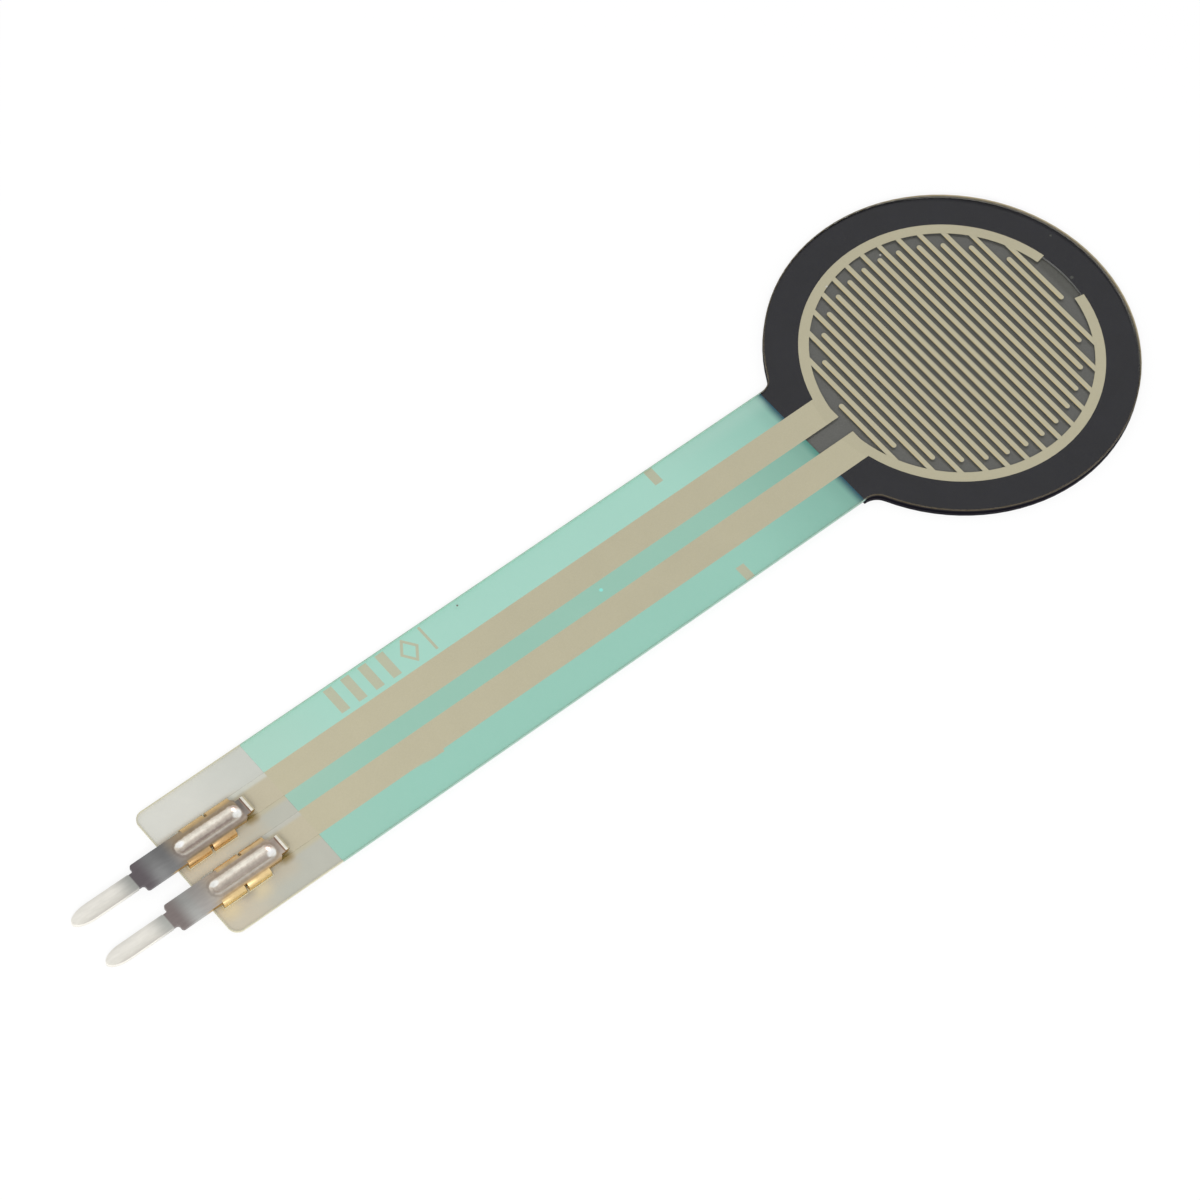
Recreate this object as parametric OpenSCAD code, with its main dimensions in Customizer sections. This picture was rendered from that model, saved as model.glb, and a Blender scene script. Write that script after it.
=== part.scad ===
// Round force sensing resistor: a printed film sandwich with a flat tail
// and two crimped solder contacts. All lengths are in millimetres.
// The origin is the centre of the sensing area, on the rear adhesive face.
// Z points up through the layers and the tail runs along -X.
// Of a pair, the piece named a is on the +Y side and b on the -Y side.

/* [Outline] */
// diameter of the round head
head_d = 18.28; // [17:0.02:30]
// width of the tail
tail_w = 7.62; // [6.6:0.02:12]
// from the head's centre to the cut end of the base film
tail_reach = 46.4; // [44:0.1:120]
// radius of the inner corners where the tail leaves the head
neck_r = 0.9; // [0.2:0.05:3]
// radius of the two corners at the end of the tail
end_corner_r = 0.5; // [0.1:0.05:2]
// how far the lower layers run onto the tail, past the neck corners
stack_lap = 0.06; // [0.02:0.01:4]

/* [Layer thicknesses] */
// clear base film that carries the print on its underside
base_film_t = 0.125; // [0.075:0.005:0.25]
// silver ink
silver_t = 0.02; // [0.01:0.005:0.03]
// green coat under the tail
coat_t = 0.04; // [0.03:0.005:0.1]
// black spacer adhesive that holds the two films apart
spacer_t = 0.14; // [0.08:0.01:0.3]
// grey pressure sensitive ink
sensing_ink_t = 0.02; // [0.01:0.005:0.04]
// lower film that carries the sensing ink
sensing_film_t = 0.125; // [0.075:0.005:0.25]
// adhesive on the rear of the head
rear_adhesive_t = 0.05; // [0.03:0.005:0.2]

/* [Sensing area] */
// width of the spacer ring between the opening over the fingers and the head's edge
spacer_w = 1.8; // [1:0.01:2.6]
// how far the silver rim runs out over the spacer
rim_lap = 0.1; // [0.02:0.01:0.4]
// width of the silver rim
rim_w = 0.52; // [0.3:0.01:1]
// half of the angle that the rim leaves open opposite the tail
rim_break = 11.2; // [5:0.1:25]
// width of a finger
finger_w = 0.25; // [0.12:0.01:0.4]
// from one finger's middle to the next finger's middle
finger_pitch = 0.505; // [0.45:0.005:1.2]
// gap between a finger's free end and the rim
finger_end_gap = 0.62; // [0.3:0.01:1.5]
// least gap between the outermost finger's middle and the rim
finger_side_gap = 0.5; // [0.3:0.01:1]
// how far the short outermost fingers run past the middle line
finger_least_reach = 1.02; // [0.2:0.01:2]
// width of the air channel between the opening and the tail
vent_w = 1.2; // [0.4:0.05:2.2]

/* [Tail print] */
// from one trace's middle to the other's, and between the solder pins
pitch = 2.54; // [2.3:0.01:4]
// width of a trace
trace_w = 1.51; // [0.8:0.01:1.9]
// how far a trace runs in past the rim's inner edge
lead_lap = 0.09; // [0.02:0.01:0.3]
// bare film beyond the end of a trace
trace_end_gap = 0.6; // [0.2:0.05:2]
// length of film at the end of the tail that has no green coat
uncoated_l = 6.14; // [5:0.02:12]

/* [Printed marks] */
// from the neck line to the middle of the two edge ticks
tick_setback = 7.07; // [2:0.01:12]
// width of an edge tick
tick_w = 0.47; // [0.2:0.01:1]
// length of an edge tick
tick_l = 0.9; // [0.3:0.01:1.6]
// from the end of the green coat to the middle of the first index bar
bars_setback = 4.96; // [1:0.01:10]
// width of an index bar
bar_w = 0.485; // [0.2:0.005:0.8]
// from one index bar's middle to the next one's
bar_pitch = 1.008; // [0.9:0.002:1.5]
// gap between the marks and the trace beside them
mark_trace_gap = 0.24; // [0.1:0.01:0.5]
// gap between the marks and the edge of the tail
mark_edge_gap = 0.09; // [0.05:0.01:0.4]
// gap between the last bar, the diamond and the stroke
mark_gap = 0.48; // [0.2:0.01:1]
// width of the diamond mark
diamond_w = 1.06; // [0.6:0.01:1.4]
// line width of the diamond and the stroke
mark_line = 0.14; // [0.06:0.01:0.2]

/* [Crimped contacts] */
// thickness of the contact strip
strip_t = 0.2; // [0.12:0.01:0.25]
// width of the strap between the crimp and the pin
strap_w = 1.5; // [1.36:0.01:1.6]
// radius of the strap's front corners and of the corners beside the pin
strap_corner_r = 0.13; // [0.04:0.01:0.2]
// how far the strap stands out past the end of the film
strap_out = 1.72; // [0.6:0.02:4]
// from the front of the strap to the tip of the pin
pin_l = 3.7; // [2:0.05:8]
// width of the pin
pin_w = 0.86; // [0.5:0.01:1]
// width of the pin's root at the strap
pin_root_w = 0.8; // [0.4:0.01:0.95]
// length of the pin's narrower root
pin_root_l = 0.3; // [0.2:0.01:0.6]
// length of the pin's rounded tip
pin_tip_l = 1; // [0.3:0.05:1.4]
// how far the crimped plate reaches in from the end of the film
crimp_inset = 4.04; // [3.9:0.02:6]
// how far the crimps sit from the traces' middles, towards -Y
crimp_offset = 0.26; // [-0.3:0.01:0.3]
// width of the crimped plate between its tines
plate_w = 1.28; // [1.2:0.01:1.32]
// cut corners at the inner end of the plate
plate_chamfer = 0.14; // [0.04:0.01:0.15]
// inside radius of the tine and lip bends
bend_r = 0.06; // [0.02:0.01:0.12]
// width of a tine
tine_w = 1.26; // [0.8:0.01:1.3]
// gap between two tines on one side
tine_gap = 0.16; // [0.08:0.01:0.22]
// from the inner end of the plate to its first tine
tine_setback = 0.16; // [0.16:0.01:0.26]
// gap between a tine and the sides of its slot in the film
slot_clearance = 0.01; // [0.01:0.01:0.05]
// length of the groove pressed into the plate
groove_l = 3.58; // [2:0.02:3.7]
// width of the groove at the top of the plate
groove_w = 0.78; // [0.7:0.01:1.1]
// depth of the groove, and height of its ridge over the film
groove_d = 0.12; // [0.06:0.01:0.15]
// from the inner end of the plate to the groove
groove_setback = 0.05; // [0.02:0.01:0.2]
// width of the lip at the inner end of the plate
lip_w = 0.88; // [0.5:0.01:0.96]
// flat length between the plate and the lip's bend
lip_flat_l = 0.2; // [0.04:0.01:0.4]
// upright length of the lip above its bend
lip_upright_l = 0.02; // [0.01:0.01:0.3]

/* [Hidden] */
$fn = 96;

// heights of the layers above the rear face
z_sensing_film = rear_adhesive_t;
z_sensing_ink = z_sensing_film + sensing_film_t;
z_spacer = z_sensing_ink + sensing_ink_t;
z_base_film = z_spacer + spacer_t;
z_base_film_top = z_base_film + base_film_t;
z_silver = z_base_film - silver_t;
z_coat = z_base_film - coat_t;

// head and tail
head_r = head_d / 2;
tail_half = tail_w / 2;
neck_corner_x = -sqrt(pow(head_r + neck_r, 2) - pow(tail_half + neck_r, 2));
neck_turn = acos((tail_half + neck_r) / (head_r + neck_r));
neck_x = neck_corner_x - stack_lap;
coat_end_x = -(tail_reach - uncoated_l);

// rim and fingers
opening_r = head_r - spacer_w;
rim_outer_r = opening_r + rim_lap;
rim_inner_r = rim_outer_r - rim_w;
rim_middle_r = rim_outer_r - rim_w / 2;
free_end_r = rim_inner_r - finger_end_gap;
fingers_each = floor((rim_inner_r - finger_side_gap) / finger_pitch + 0.5);
first_finger_x = -(fingers_each - 0.5) * finger_pitch;

// traces and marks
trace_inner_y = (pitch - trace_w) / 2;
trace_end_x = -(tail_reach - trace_end_gap);
mark_inner_y = (pitch + trace_w) / 2 + mark_trace_gap;
mark_l = tail_half - mark_edge_gap - mark_inner_y;
last_bar = 4;
diamond_x = bar_x(last_bar) + bar_w / 2 + mark_gap + diamond_w / 2;
stroke_x = diamond_x + diamond_w / 2 + mark_gap + mark_line / 2;

// a contact lies along X, with zero at the inner end of its plate
plate_end_x = -(tail_reach - crimp_inset);
z_plate = z_base_film_top + groove_d;
z_plate_top = z_plate + strip_t;
bend_outer_r = bend_r + strip_t;
tine_outer_y = plate_w / 2 + bend_outer_r;
curl_outer_r = z_silver;
curl_inner_r = curl_outer_r - strip_t;
tine_pitch = tine_w + tine_gap;
tine_stagger = tine_pitch / 2;
tine_run = tine_setback + tine_w + tine_pitch;
strap_front_x = -(crimp_inset + strap_out);
pin_start_x = strap_front_x - pin_root_l;
pin_tip_x = strap_front_x - pin_l;

// the groove's wall is two equal arcs, a round rim and a round foot
wall_angle = 45;
arc_step = 9;
neck_steps = 8;
groove_arc_r = groove_d / 2 / (1 - cos(wall_angle));
groove_wall_w = 2 * groove_arc_r * sin(wall_angle);

// overlap that keeps joins and cuts clean
over = 0.05;
// further than any edge of the part
far = 200;

function bar_x(number) = coat_end_x + bars_setback + (number - 1) * bar_pitch;
function finger_x(index) = first_finger_x + index * finger_pitch;
function crimp_y(side) = side * pitch / 2 - crimp_offset;

// half of a circle's chord at x, and never under the least value
function half_chord(r, x, least = 0) = sqrt(max(r * r - x * x, least * least));

// outer end of a tine, where those on the -Y side are staggered
function tine_x(side, index) =
    -(tine_setback + tine_w + index * tine_pitch + (side < 0 ? tine_stagger : 0));

// half of the groove's section, from its middle out
function groove_floor() = concat(
    [for (a = [0:arc_step:wall_angle - arc_step]) [
        groove_w / 2 - groove_wall_w + groove_arc_r * sin(a),
        groove_arc_r * (1 - cos(a)) - groove_d
    ]],
    [for (a = [wall_angle:-arc_step:0]) [
        groove_w / 2 - groove_arc_r * sin(a),
        groove_arc_r * (cos(a) - 1)
    ]]
);

// points of the neck's arc on one side, counted from the tail to the head
function neck_arc(side, steps) = [
    for (i = steps)
        let (turn = neck_turn * i / neck_steps)
            [neck_corner_x + neck_r * sin(turn), side * (tail_half + neck_r - neck_r * cos(turn))]
];

// outlines of the films, seen from above

// a bar along X with two round corners at its -X end
module round_ended_bar(x_end, x_start, w, r) {
    translate([x_end + r, -w / 2])
        square([x_start - x_end - r, w]);
    translate([x_end, r - w / 2])
        square([2 * r, w - 2 * r]);
    for (side = [-1, 1])
        translate([x_end + r, side * (w / 2 - r)])
            circle(r = r);
}

// the head, with a length of tail that widens into it by hollow arcs
module head_outline(tail_x) {
    circle(r = head_r);
    polygon(concat(
        [[tail_x, -tail_half]],
        neck_arc(-1, [0:neck_steps]),
        neck_arc(1, [neck_steps:-1:0]),
        [[tail_x, tail_half]]
    ));
}

// the lower layers are cut off along a straight neck line
module stack_outline() {
    intersection() {
        head_outline(coat_end_x);
        translate([neck_x, -far])
            square([far, 2 * far]);
    }
}

module film_outline() {
    head_outline(coat_end_x);
    round_ended_bar(-tail_reach, neck_x, tail_w, end_corner_r);
}

// the silver print, seen from above

// half of the rim, between the traces and the break opposite them
module rim_half() {
    difference() {
        circle(r = rim_outer_r);
        circle(r = rim_inner_r);
        translate([-far, trace_inner_y - far])
            square([2 * far, far]);
        polygon([[0, 0], [far, 0], [far, far * tan(rim_break)]]);
    }
}

module trace() {
    translate([trace_end_x, trace_inner_y])
        square([lead_lap - rim_inner_r - trace_end_x, trace_w]);
}

// a finger that hangs from the +Y half of the rim to a round free end
module finger(x) {
    root_y = half_chord(rim_middle_r, x);
    end_y = finger_w / 2 - half_chord(free_end_r, x, finger_least_reach);
    translate([x - finger_w / 2, end_y])
        square([finger_w, root_y - end_y]);
    translate([x, end_y])
        circle(d = finger_w);
}

module electrode_outline(side) {
    mirror([0, side < 0 ? 1 : 0]) {
        rim_half();
        trace();
        for (i = [side < 0 ? 0 : 1:2:2 * fingers_each - 1])
            finger(finger_x(i));
    }
}

module edge_tick_outline(side) {
    mirror([0, side < 0 ? 1 : 0])
        translate([neck_x - tick_setback - tick_w / 2, tail_half - tick_l])
            square([tick_w, tick_l]);
}

module index_bar_outline(number) {
    translate([bar_x(number) - bar_w / 2, mark_inner_y])
        square([bar_w, mark_l]);
}

module solid_diamond(w, l) {
    polygon([[-w / 2, 0], [0, -l / 2], [w / 2, 0], [0, l / 2]]);
}

module index_diamond_outline() {
    slope = mark_l / diamond_w;
    line_across = 2 * mark_line * sqrt(1 + 1 / (slope * slope));
    translate([diamond_x, mark_inner_y + mark_l / 2])
        difference() {
            solid_diamond(diamond_w, mark_l);
            solid_diamond(diamond_w - line_across, mark_l - line_across * slope);
        }
}

module index_stroke_outline() {
    translate([stroke_x - mark_line / 2, mark_inner_y])
        square([mark_line, mark_l]);
}

// slots where the tines go through the film and the silver
module slot_outlines() {
    slot_l = tine_w + 2 * slot_clearance;
    slot_w = strip_t + 2 * slot_clearance;
    slot_y = tine_outer_y + slot_clearance - slot_w;
    for (contact = [-1, 1], side = [-1, 1], i = [0, 1])
        translate([plate_end_x + tine_x(side, i) - slot_clearance, crimp_y(contact)])
            mirror([0, side < 0 ? 1 : 0])
                translate([0, slot_y])
                    square([slot_l, slot_w]);
}

// silver printed on the underside of the base film
module printed_silver(extra = 0) {
    translate([0, 0, z_silver])
        linear_extrude(silver_t + extra)
            children();
}

// the pieces, from the top down

module base_film() {
    color([0.92, 0.92, 0.88, 0.45])
        translate([0, 0, z_base_film])
            linear_extrude(base_film_t)
                difference() {
                    film_outline();
                    slot_outlines();
                }
}

module electrode(side) {
    color([0.74, 0.70, 0.60])
        printed_silver()
            difference() {
                electrode_outline(side);
                slot_outlines();
            }
}

module edge_tick(side) {
    color([0.74, 0.70, 0.60])
        printed_silver()
            edge_tick_outline(side);
}

module index_bar(number) {
    color([0.74, 0.70, 0.60])
        printed_silver()
            index_bar_outline(number);
}

module index_diamond() {
    color([0.74, 0.70, 0.60])
        printed_silver()
            index_diamond_outline();
}

module index_stroke() {
    color([0.74, 0.70, 0.60])
        printed_silver()
            index_stroke_outline();
}

// the coat covers the film from the neck line on and fits round the silver
module tail_coat() {
    color([0.60, 0.81, 0.74])
        difference() {
            translate([coat_end_x, -tail_half, z_coat])
                cube([neck_x - coat_end_x, tail_w, coat_t]);
            printed_silver(over) {
                electrode_outline(1);
                electrode_outline(-1);
                edge_tick_outline(1);
                for (number = [1:last_bar])
                    index_bar_outline(number);
                index_diamond_outline();
                index_stroke_outline();
            }
            printed_silver(over)
                edge_tick_outline(-1);
        }
}

// the spacer is open over the fingers and vents towards the tail
module spacer_adhesive() {
    color([0.16, 0.16, 0.17])
        difference() {
            translate([0, 0, z_spacer])
                linear_extrude(spacer_t)
                    difference() {
                        stack_outline();
                        circle(r = opening_r);
                        translate([-far, -vent_w / 2])
                            square([far, vent_w]);
                    }
            printed_silver(over) {
                electrode_outline(1);
                electrode_outline(-1);
            }
        }
}

module sensing_ink() {
    color([0.36, 0.36, 0.34])
        translate([0, 0, z_sensing_ink])
            linear_extrude(sensing_ink_t)
                stack_outline();
}

module sensing_film() {
    color([0.20, 0.20, 0.20])
        translate([0, 0, z_sensing_film])
            linear_extrude(sensing_film_t)
                stack_outline();
}

module rear_adhesive() {
    color([0.14, 0.14, 0.15])
        linear_extrude(rear_adhesive_t)
            stack_outline();
}

// a contact, made of one strip of metal

// flat strip, with the strap ending where the first tine of each side starts
module strip_outline() {
    half_plate = plate_w / 2;
    polygon([
        [-tine_run - tine_stagger - over, -half_plate],
        [-plate_chamfer, -half_plate],
        [0, plate_chamfer - half_plate],
        [0, half_plate - plate_chamfer],
        [-plate_chamfer, half_plate],
        [-tine_run - tine_stagger - over, half_plate]
    ]);
    round_ended_bar(strap_front_x, -(tine_run + tine_stagger), strap_w, strap_corner_r);
    translate([strap_front_x + strap_corner_r, 0])
        square([-tine_run - strap_front_x - strap_corner_r, strap_w / 2]);
    pin_outline();
    translate([-over, -lip_w / 2])
        square([over + lip_flat_l, lip_w]);
}

module pin_outline() {
    tip_start_x = pin_tip_x + pin_tip_l;
    translate([pin_start_x - over, -pin_root_w / 2])
        square([pin_root_l + 2 * over, pin_root_w]);
    translate([tip_start_x, -pin_w / 2])
        square([pin_start_x - tip_start_x, pin_w]);
    polygon([for (a = [0:arc_step:180])
        [tip_start_x - pin_tip_l * sin(a), pin_w / 2 * cos(a)]
    ]);
    for (side = [0, 1])
        mirror([0, side])
            difference() {
                translate([strap_front_x - strap_corner_r, 0])
                    square([strap_corner_r + over, pin_root_w / 2 + strap_corner_r]);
                translate([strap_front_x - strap_corner_r, pin_root_w / 2 + strap_corner_r])
                    circle(r = strap_corner_r);
            }
}

// a quarter of a ring of strip, open towards +X and +Y
module quarter_bend(inner_r) {
    outer_r = inner_r + strip_t;
    intersection() {
        difference() {
            circle(r = outer_r);
            circle(r = inner_r);
        }
        square([outer_r, outer_r]);
    }
}

// a tine's section: down through the film, under it and up against the trace
module tine_section() {
    curl_y = tine_outer_y - curl_outer_r;
    translate([plate_w / 2, z_plate_top - bend_outer_r])
        quarter_bend(bend_r);
    translate([plate_w / 2 - over, z_plate])
        square([over, strip_t]);
    translate([tine_outer_y - strip_t, curl_outer_r])
        square([strip_t, z_plate_top - bend_outer_r - curl_outer_r]);
    translate([curl_y, curl_outer_r])
        for (turn = [0, 1])
            mirror([turn, 0])
                mirror([0, 1])
                    quarter_bend(curl_inner_r);
}

module tine(side, index) {
    mirror([0, side < 0 ? 1 : 0])
        translate([tine_x(side, index), 0, 0])
            rotate([90, 0, 90])
                linear_extrude(tine_w)
                    tine_section();
}

module lip() {
    rotate([90, 0, 0])
        translate([0, 0, -lip_w / 2])
            linear_extrude(lip_w) {
                translate([lip_flat_l, z_plate_top + bend_r])
                    mirror([0, 1])
                        quarter_bend(bend_r);
                translate([lip_flat_l + bend_r, z_plate_top + bend_r])
                    square([strip_t, lip_upright_l]);
            }
}

// the groove's space, from the top of the strip down; the ridge repeats it
module groove_space() {
    half_section = concat(
        [[0, -groove_d]],
        groove_floor(),
        [[groove_w / 2, over], [0, over]]
    );
    end_x = [-groove_setback - groove_w / 2, -groove_setback - groove_l + groove_w / 2];
    translate([end_x[1], 0, 0])
        rotate([90, 0, 90])
            linear_extrude(end_x[0] - end_x[1])
                for (side = [0, 1])
                    mirror([side, 0])
                        polygon(half_section);
    for (end = [0, 1])
        translate([end_x[end], 0, 0])
            rotate([0, 0, end * 180 - 90])
                rotate_extrude(angle = 180)
                    polygon(half_section);
}

module contact(side) {
    color([0.62, 0.62, 0.60])
        translate([plate_end_x, crimp_y(side), 0])
            difference() {
                union() {
                    translate([0, 0, z_plate])
                        linear_extrude(strip_t)
                            strip_outline();
                    translate([0, 0, z_plate])
                        groove_space();
                    lip();
                    for (tine_side = [-1, 1], i = [0, 1])
                        tine(tine_side, i);
                }
                translate([0, 0, z_plate_top])
                    groove_space();
            }
}

base_film();
electrode(1);  // electrode_a
electrode(-1);  // electrode_b
tail_coat();
spacer_adhesive();
sensing_ink();
sensing_film();
rear_adhesive();
edge_tick(1);  // edge_tick_a
edge_tick(-1);  // edge_tick_b
index_bar(1);  // index_bar_1
index_bar(2);  // index_bar_2
index_bar(3);  // index_bar_3
index_bar(4);  // index_bar_4
index_diamond();
index_stroke();
contact(1);  // contact_a
contact(-1);  // contact_b
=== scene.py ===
import math

import bmesh
import bpy
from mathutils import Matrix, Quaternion, Vector


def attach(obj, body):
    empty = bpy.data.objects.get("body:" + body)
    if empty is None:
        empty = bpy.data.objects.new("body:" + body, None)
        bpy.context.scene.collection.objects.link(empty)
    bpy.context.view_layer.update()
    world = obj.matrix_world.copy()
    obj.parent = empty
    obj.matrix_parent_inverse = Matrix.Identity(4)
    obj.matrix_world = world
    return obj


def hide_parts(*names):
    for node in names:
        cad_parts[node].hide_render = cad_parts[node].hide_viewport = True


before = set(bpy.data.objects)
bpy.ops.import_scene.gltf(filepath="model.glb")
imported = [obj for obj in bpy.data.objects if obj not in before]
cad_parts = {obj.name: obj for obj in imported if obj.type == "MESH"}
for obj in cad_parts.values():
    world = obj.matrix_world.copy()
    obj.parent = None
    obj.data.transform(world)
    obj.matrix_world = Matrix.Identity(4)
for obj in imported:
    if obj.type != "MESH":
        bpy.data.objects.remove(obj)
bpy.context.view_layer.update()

# Lengths in this script are in millimetres, and MM turns them into Blender's metres.
MM = 0.001

# places on the sensor, from its centre; the tail runs along -X
HEAD_R = 9.14
NECK_X = -8.93
COAT_END_X = -40.26
TRACE_Y = 1.27
TRACE_HALF = 0.755
TRACE_END_X = -45.8
PLATE_END_X = -42.36
CRIMP_L = 3.6
STRAP_FRONT_X = -48.12
# the crimps sit a little towards -Y from the traces' middles
CRIMP_MID_Y = -0.26

# the film's underside is kept this far above the print, so that the two don't share a face
PRINT_CLEARANCE = 0.004
# the width of the strip along the film's cut edge where a gold glint is painted
RIM_W = 0.06
# the film's underside and its upper face lie below and above this height
FILM_MID_Z = 0.4
# the spacer's opening lies well inside this radius, and its outer side well outside
SPACER_MID_R = 8.0

# the silver fingers, counted from the tail's side
FIRST_FINGER_X = -6.3125
FINGER_PITCH = 0.505
FINGERS_R = 6.8
# the silver rim's outer edge
RIM_R = 7.5

# what the film's surface reflects of white surroundings, and what it lets through, there and back
FILM_REFLECTION = 0.04
FILM_PASS = 0.92
# how much of what lies below it the bare film's haze hides
HAZE_HIDES = 0.9
# the share of its own colour that bare metal shows in this light
METAL_SHOWS = 0.8
# the head's right side in the photograph, as an angle from +X
RIGHT_SIDE = math.radians(15)
# the share of its reflection that a dull dark surface keeps
DULL = 0.06


def mm(*place):
    return Vector(place) * MM


def srgb(red, green, blue):
    """A colour as it shows on screen, from 0 to 255, turned into the linear one that a shader takes."""
    linear = []
    for part in (red, green, blue):
        share = part / 255
        linear.append(share / 12.92 if share <= 0.04045 else ((share + 0.055) / 1.055) ** 2.4)
    return (*linear, 1.0)


def through_film(red, green, blue):
    """The colour of an ink that shows this screen colour under the film's own reflection."""
    shown = srgb(red, green, blue)[:3]
    return (*[max(part - FILM_REFLECTION, 0) / FILM_PASS for part in shown], 1.0)


def in_haze(red, green, blue):
    """The colour of a haze that shows this screen colour over a white floor."""
    return (*[max(part - 1 + HAZE_HIDES, 0) / HAZE_HIDES for part in srgb(red, green, blue)[:3]], 1.0)


def on_metal(red, green, blue):
    """The colour of a metal that shows this screen colour in this light."""
    return (*[min(part / METAL_SHOWS, 1) for part in srgb(red, green, blue)[:3]], 1.0)


# small helpers for building materials


def put(tree, kind, **settings):
    made = tree.nodes.new(kind)
    for name, value in settings.items():
        setattr(made, name, value)
    return made


def feed(tree, socket, source):
    """Links a socket to another node's output, or sets it to a plain value."""
    if isinstance(source, bpy.types.NodeSocket):
        tree.links.new(source, socket)
    else:
        socket.default_value = source


def calc(tree, operation, *values):
    made = put(tree, "ShaderNodeMath", operation=operation)
    for socket, value in zip(made.inputs, values):
        feed(tree, socket, value)
    return made.outputs[0]


def ramp(tree, value, start, end, low=0.0, high=1.0):
    """Runs smoothly from low, where value is at start, to high, where it is at end."""
    made = put(tree, "ShaderNodeMapRange", interpolation_type="SMOOTHSTEP")
    for name, source in (("From Min", start), ("From Max", end), ("To Min", low), ("To Max", high)):
        made.inputs[name].default_value = source
    feed(tree, made.inputs["Value"], value)
    return made.outputs["Result"]


def tint(tree, share, below, above, blend="MIX"):
    """The colour below, with the colour above laid over it by share."""
    made = put(tree, "ShaderNodeMix", data_type="RGBA", blend_type=blend)
    feed(tree, made.inputs["Factor"], share)
    feed(tree, made.inputs["A"], below)
    feed(tree, made.inputs["B"], above)
    return made.outputs["Result"]


def every(tree, *masks):
    """Where all the masks are white."""
    joined = masks[0]
    for mask in masks[1:]:
        joined = calc(tree, "MULTIPLY", joined, mask)
    return joined


def bands(tree, value, start, end, stops):
    """Colours laid out along a value that runs from start to end."""
    made = put(tree, "ShaderNodeValToRGB")
    places = made.color_ramp.elements
    places.remove(places[1])
    places[0].color = stops[0][1]
    for at, colour in stops[1:]:
        places.new((at - start) / (end - start)).color = colour
    share = calc(tree, "DIVIDE", calc(tree, "SUBTRACT", value, start), end - start)
    tree.links.new(share, made.inputs["Fac"])
    return made.outputs["Color"]


def any_of(tree, *masks):
    """Where at least one of the masks is white."""
    joined = masks[0]
    for mask in masks[1:]:
        joined = calc(tree, "MAXIMUM", joined, mask)
    return joined


def opposite(tree, mask):
    """Where the mask is black."""
    return calc(tree, "SUBTRACT", 1.0, mask)


def weaker(tree, mask, share):
    return calc(tree, "MULTIPLY", mask, share)


def shaded(tree, colour, shade):
    """The colour times a shade, or times another colour."""
    return tint(tree, 1.0, colour, shade, "MULTIPLY")


def place_mm(tree):
    """The place on the sensor in millimetres, as a vector and as its three parts."""
    coordinates = put(tree, "ShaderNodeTexCoord")
    scaled = put(tree, "ShaderNodeVectorMath", operation="SCALE")
    scaled.inputs["Scale"].default_value = 1 / MM
    tree.links.new(coordinates.outputs["Object"], scaled.inputs[0])
    parts = put(tree, "ShaderNodeSeparateXYZ")
    tree.links.new(scaled.outputs[0], parts.inputs[0])
    return scaled.outputs[0], parts.outputs["X"], parts.outputs["Y"], parts.outputs["Z"]


def facing_up(tree):
    """White where the surface lies flat, and black on its cut sides."""
    turned = put(tree, "ShaderNodeTexCoord")
    parts = put(tree, "ShaderNodeSeparateXYZ")
    tree.links.new(turned.outputs["Normal"], parts.inputs[0])
    return ramp(tree, calc(tree, "ABSOLUTE", parts.outputs["Z"]), 0.3, 0.5)


def radius_of(tree, x, y):
    square = calc(tree, "ADD", calc(tree, "MULTIPLY", x, x), calc(tree, "MULTIPLY", y, y))
    return calc(tree, "SQRT", square)


def bare_tail(tree, x, coated=0.0, bare=1.0):
    """Runs from coated to bare where the green coat stops."""
    return ramp(tree, x, COAT_END_X + 0.01, COAT_END_X - 0.01, coated, bare)


def past_middle(tree, y, half_spacing):
    """How far y lies past the middle of the nearer one of two things that lie side by side."""
    return calc(tree, "SUBTRACT", y, calc(tree, "MULTIPLY", calc(tree, "SIGN", y), half_spacing))


def place_vector(tree, x, y):
    """A flat place made of two numbers."""
    made = put(tree, "ShaderNodeCombineXYZ")
    feed(tree, made.inputs["X"], x)
    feed(tree, made.inputs["Y"], y)
    return made.outputs[0]


def spot(tree, place, centre, radius):
    return use(tree, SPOT, Place=place, Centre=centre, Radius=radius)


def new_group(name, inputs, outputs):
    """An empty shader node group with named inputs and outputs."""
    tree = bpy.data.node_groups.new(name, "ShaderNodeTree")
    for label, kind in inputs:
        tree.interface.new_socket(label, in_out="INPUT", socket_type=kind)
    for label, kind in outputs:
        tree.interface.new_socket(label, in_out="OUTPUT", socket_type=kind)
    return tree, put(tree, "NodeGroupInput").outputs, put(tree, "NodeGroupOutput").inputs


def use(tree, group, **values):
    """Places a shared effect in a material and returns its first output."""
    made = put(tree, "ShaderNodeGroup", node_tree=group)
    for name, value in values.items():
        feed(tree, made.inputs[name.replace("_", " ")], value)
    return made.outputs[0]


NUMBER = "NodeSocketFloat"
VECTOR = "NodeSocketVector"


def mottle_group():
    """Soft cloudy change of shade, as in screen printed ink."""
    tree, given, result = new_group(
        "Mottle", [("Place", VECTOR), ("Size", NUMBER), ("Depth", NUMBER)], [("Shade", NUMBER)]
    )
    noise = put(tree, "ShaderNodeTexNoise")
    noise.inputs["Detail"].default_value = 4
    noise.inputs["Roughness"].default_value = 0.6
    tree.links.new(given["Place"], noise.inputs["Vector"])
    tree.links.new(calc(tree, "DIVIDE", 1.0, given["Size"]), noise.inputs["Scale"])
    centred = calc(tree, "MULTIPLY", calc(tree, "SUBTRACT", noise.outputs[0], 0.5), 2.0)
    shade = calc(tree, "ADD", calc(tree, "MULTIPLY", centred, given["Depth"]), 1.0)
    tree.links.new(shade, result["Shade"])
    return tree


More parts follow.
